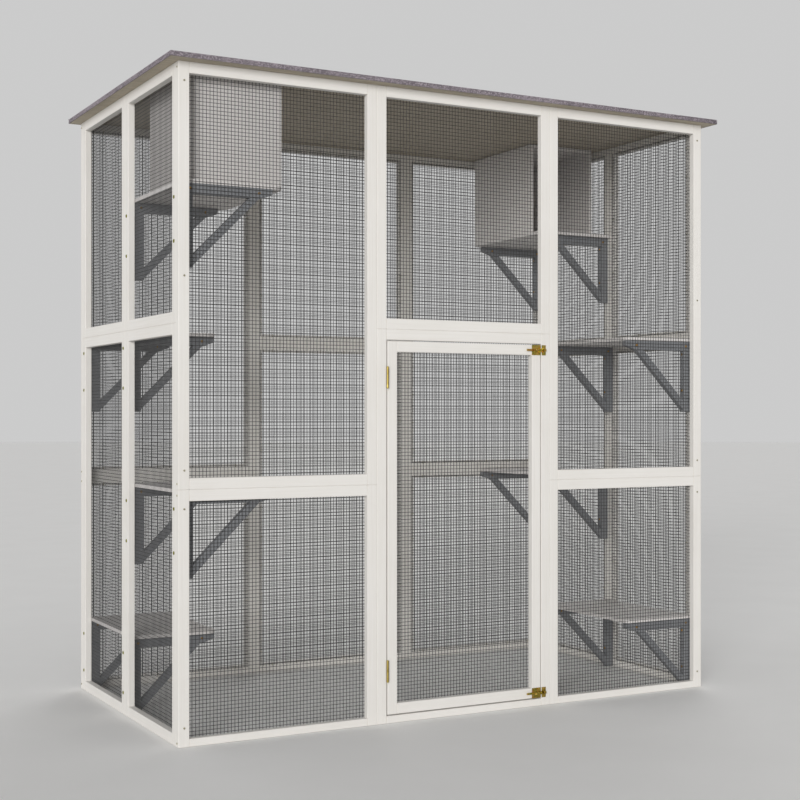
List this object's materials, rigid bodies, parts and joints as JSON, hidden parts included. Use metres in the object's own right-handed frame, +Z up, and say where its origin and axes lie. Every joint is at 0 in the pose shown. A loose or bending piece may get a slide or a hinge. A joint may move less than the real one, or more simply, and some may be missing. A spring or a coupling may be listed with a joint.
{
  "type": "outdoor cat enclosure",
  "caption": "Walk-in outdoor cat enclosure with white framed wire panels, felted flat roof, hinged bolted door, staggered wall shelves on brackets and nest boxes.",
  "frame": {"origin": "on the ground, under the middle of the roof", "axes": "+X to the right along the front, +Y from the front to the back, +Z up"},
  "size_m": [1.807, 0.97, 1.795],
  "materials": {
    "white_paint": "satin cream-white paint on softwood",
    "black_wire": "black coated welded wire",
    "roof_board": "brown board",
    "mineral_felt": "granulated grey felt",
    "dark_grey_paint": "matt dark grey paint",
    "light_grey_paint": "matt light grey paint",
    "brass": "polished brass plate",
    "yellow_zinc": "yellow zinc plate",
    "pale_zinc": "pale zinc plate"
  },
  "bodies": {
    "enclosure": {"front_left_lower": "white_paint", "front_left_upper": "white_paint", "back_left_lower": "white_paint", "back_left_upper": "white_paint", "front_right_lower": "white_paint", "front_right_upper": "white_paint", "back_right_lower": "white_paint", "back_right_upper": "white_paint", "door_jamb": "white_paint", "front_transom": "white_paint", "back_middle_lower": "white_paint", "back_middle_upper": "white_paint", "left_front_lower": "white_paint", "left_front_upper": "white_paint", "left_rear_lower": "white_paint", "left_rear_upper": "white_paint", "right_front_lower": "white_paint", "right_front_upper": "white_paint", "right_rear_lower": "white_paint", "right_rear_upper": "white_paint", "front_mesh": "black_wire", "back_mesh": "black_wire", "left_mesh": "black_wire", "right_mesh": "black_wire", "roof_deck": "roof_board", "roof_felt": "mineral_felt", "left_shelf_1_brackets": "dark_grey_paint", "left_shelf_1_board": "light_grey_paint", "left_shelf_2_brackets": "dark_grey_paint", "left_shelf_2_board": "light_grey_paint", "left_shelf_3_brackets": "dark_grey_paint", "left_shelf_3_board": "light_grey_paint", "left_shelf_4_brackets": "dark_grey_paint", "left_shelf_4_board": "light_grey_paint", "left_nest_walls": "light_grey_paint", "left_nest_top": "light_grey_paint", "right_shelf_1_brackets": "dark_grey_paint", "right_shelf_1_board": "light_grey_paint", "right_shelf_2_brackets": "dark_grey_paint", "right_shelf_2_board": "light_grey_paint", "right_shelf_3_brackets": "dark_grey_paint", "right_shelf_3_board": "light_grey_paint", "right_shelf_4_brackets": "dark_grey_paint", "right_shelf_4_board": "light_grey_paint", "right_nest_walls": "light_grey_paint", "right_nest_top": "light_grey_paint", "hinge_frame_leaves": "brass", "hinge_pins": "brass", "bolt_keepers": "brass", "keeper_screws": "brass", "bracket_screws": "yellow_zinc", "frame_screws": "pale_zinc"},
    "door": {"door_leaf": "white_paint", "door_mesh": "black_wire", "hinge_door_leaves": "brass", "bolt_housings": "brass", "bolt_plate_screws": "brass"},
    "upper_bolt": {"upper_bolt": "brass"},
    "lower_bolt": {"lower_bolt": "brass"}
  },
  "joints": [
    {"name": "door_hinge", "type": "hinge", "parent": "enclosure", "child": "door", "pos_m": [-0.25785, -0.4506, 0.5465], "axis": [0, 0, -1], "range_deg": [0, 165]},
    {"name": "upper_bolt_slide", "type": "slide", "parent": "door", "child": "upper_bolt", "axis": [1, 0, 0], "range_m": [0, 0.02]},
    {"name": "lower_bolt_slide", "type": "slide", "parent": "door", "child": "lower_bolt", "axis": [1, 0, 0], "range_m": [0, 0.02]}
  ]
}
